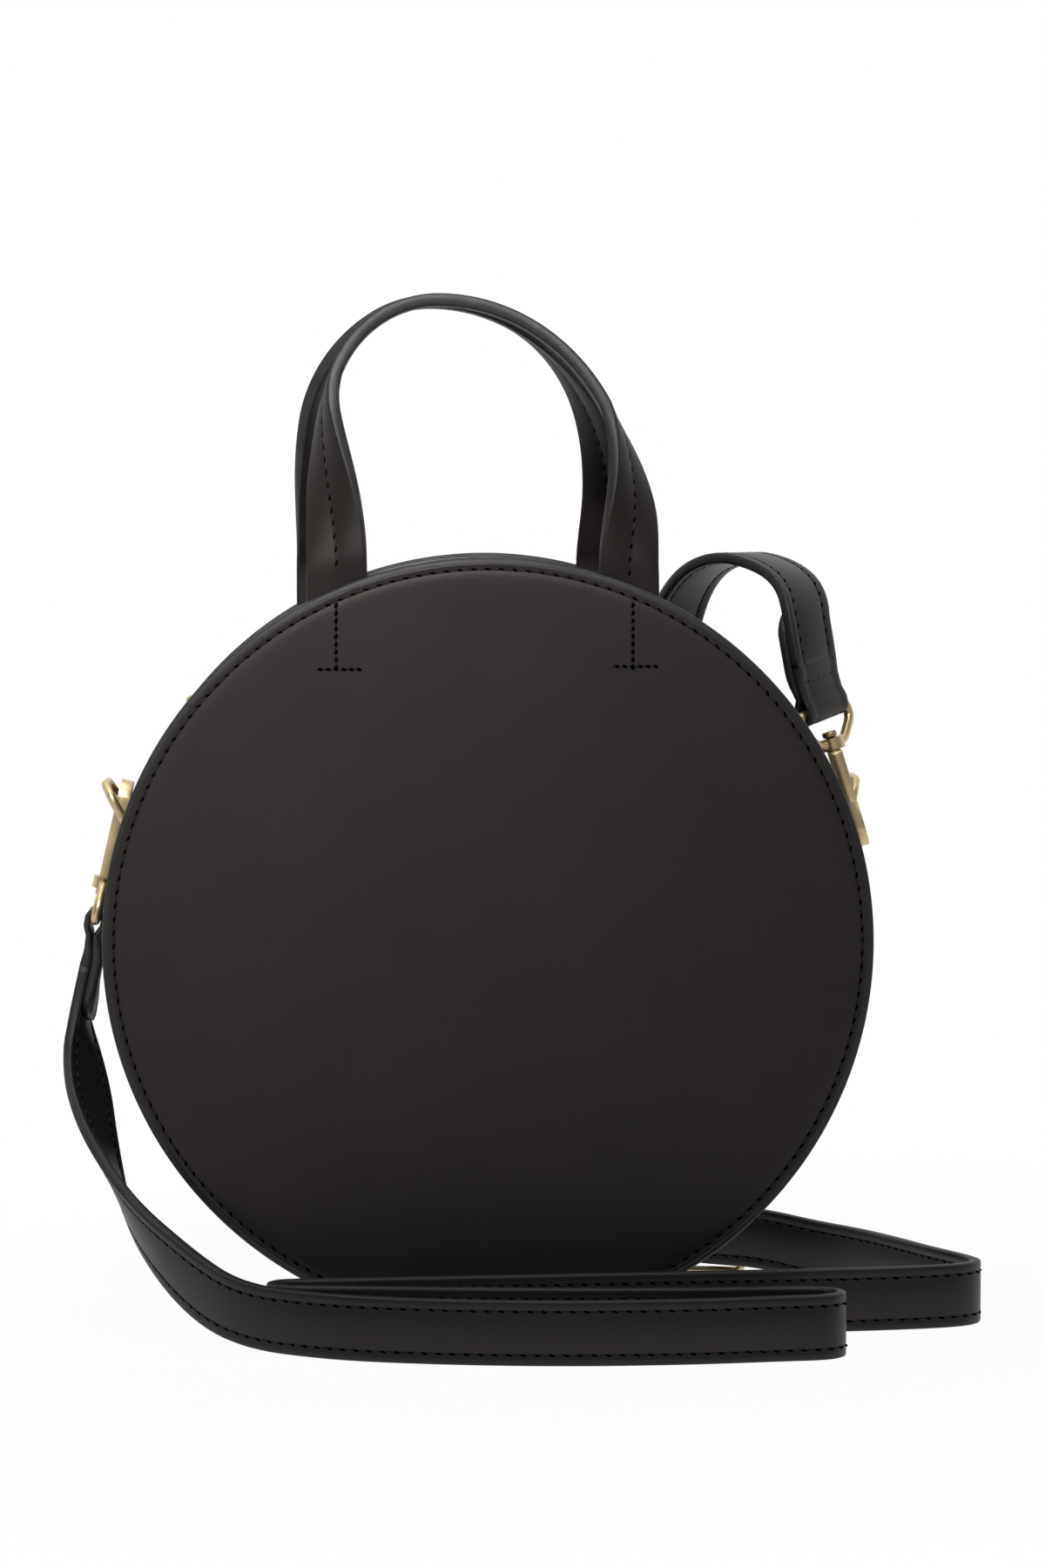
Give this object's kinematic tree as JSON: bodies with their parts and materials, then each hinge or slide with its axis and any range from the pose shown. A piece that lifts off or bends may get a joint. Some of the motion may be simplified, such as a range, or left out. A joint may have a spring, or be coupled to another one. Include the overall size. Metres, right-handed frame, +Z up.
{
  "type": "circle bag",
  "caption": "Round stiff leather handbag with zip gusset, top handles and a buckled shoulder strap that clips by swivel clasps to D-rings on side tabs.",
  "frame": {"origin": "centre of the bag's base on the floor, below the middle of the drum", "axes": "+X to the bag's right as seen from the front, +Y from the front panel to the back panel, +Z up"},
  "size_m": [0.2681, 0.1846, 0.2952],
  "materials": {
    "panel_leather": "matte",
    "handle_leather": "matte",
    "strap_leather": "matte",
    "board": "matte",
    "lining": "matte",
    "zip_tape": "matte",
    "hardware": "satin",
    "rivet": "satin"
  },
  "bodies": {
    "bag": {"front_panel": "panel_leather", "back_panel": "panel_leather", "front_board": "board", "back_board": "board", "front_lining": "lining", "back_lining": "lining", "lower_gusset": "panel_leather", "gusset_lining": "lining", "front_zip_gusset": "panel_leather", "back_zip_gusset": "panel_leather", "front_zip_tape": "zip_tape", "back_zip_tape": "zip_tape", "front_zip_teeth": "hardware", "back_zip_teeth": "hardware", "zip_stops": "hardware", "inner_pocket": "lining", "left_side_tab": "panel_leather", "right_side_tab": "panel_leather", "front_handle_anchors": "handle_leather", "back_handle_anchors": "handle_leather", "left_swivel_ring": "hardware", "right_swivel_ring": "hardware", "left_strap_end": "strap_leather", "right_strap_end": "strap_leather", "strap_long": "strap_leather", "strap_short": "strap_leather", "buckle_frame": "hardware", "buckle_prong": "hardware", "buckle_strap_end": "strap_leather", "strap_keeper": "strap_leather"},
    "front_handle": {"front_handle": "handle_leather"},
    "back_handle": {"back_handle": "handle_leather"},
    "zip_slider": {"zip_slider": "hardware"},
    "zip_pull": {"zip_pull": "hardware"},
    "left_d_ring": {"left_d_ring": "hardware"},
    "right_d_ring": {"right_d_ring": "hardware"},
    "left_hook": {"left_hook_body": "hardware", "left_trigger_pin": "rivet", "left_swivel_rivet": "rivet"},
    "right_hook": {"right_hook_body": "hardware", "right_trigger_pin": "rivet", "right_swivel_rivet": "rivet"},
    "left_trigger": {"left_trigger": "hardware"},
    "right_trigger": {"right_trigger": "hardware"}
  },
  "joints": [
    {"name": "front_handle_swing", "type": "hinge", "parent": "bag", "child": "front_handle", "pos_m": [0, -0.0349, 0.218], "axis": [1, 0, 0], "range_deg": [0, 80]},
    {"name": "back_handle_swing", "type": "hinge", "parent": "bag", "child": "back_handle", "pos_m": [0, 0.0349, 0.218], "axis": [-1, 0, 0], "range_deg": [0, 80]},
    {"name": "zip_slide", "type": "hinge", "parent": "bag", "child": "zip_slider", "pos_m": [0, 0, 0.11], "axis": [0, 1, 0], "range_deg": [0, 106]},
    {"name": "zip_pull_lift", "type": "hinge", "parent": "zip_slider", "child": "zip_pull", "pos_m": [-0.08564, 0, 0.17782], "axis": [0, 1, 0], "range_deg": [0, 90]},
    {"name": "left_swivel", "type": "hinge", "parent": "bag", "child": "left_hook", "pos_m": [-0.10466, 0.0113, 0.15392], "axis": [-0.225, 0, -0.9744], "range_deg": [-3, 6]},
    {"name": "right_swivel", "type": "hinge", "parent": "bag", "child": "right_hook", "pos_m": [0.10907, -0.0113, 0.13591], "axis": [-0.2924, 0, 0.9563], "range_deg": [-4, 1.5]},
    {"name": "left_trigger_press", "type": "hinge", "parent": "left_hook", "child": "left_trigger", "pos_m": [-0.11028, 0.0113, 0.12956], "axis": [0.9744, 0, -0.225], "range_deg": [0, 20], "stiffness_Nm_per_rad": 0.02},
    {"name": "right_trigger_press", "type": "hinge", "parent": "right_hook", "child": "right_trigger", "pos_m": [0.10176, -0.0113, 0.15981], "axis": [0.9563, 0, 0.2924], "range_deg": [0, 8], "stiffness_Nm_per_rad": 0.02},
    {"name": "left_d_ring_tilt", "type": "hinge", "parent": "bag", "child": "left_d_ring", "pos_m": [-0.10384, 0, 0.14175], "axis": [0, -1, 0], "range_deg": [0, 12]},
    {"name": "right_d_ring_tilt", "type": "hinge", "parent": "bag", "child": "right_d_ring", "pos_m": [0.10384, 0, 0.14175], "axis": [0, -1, 0], "range_deg": [-10, 1.5]}
  ]
}
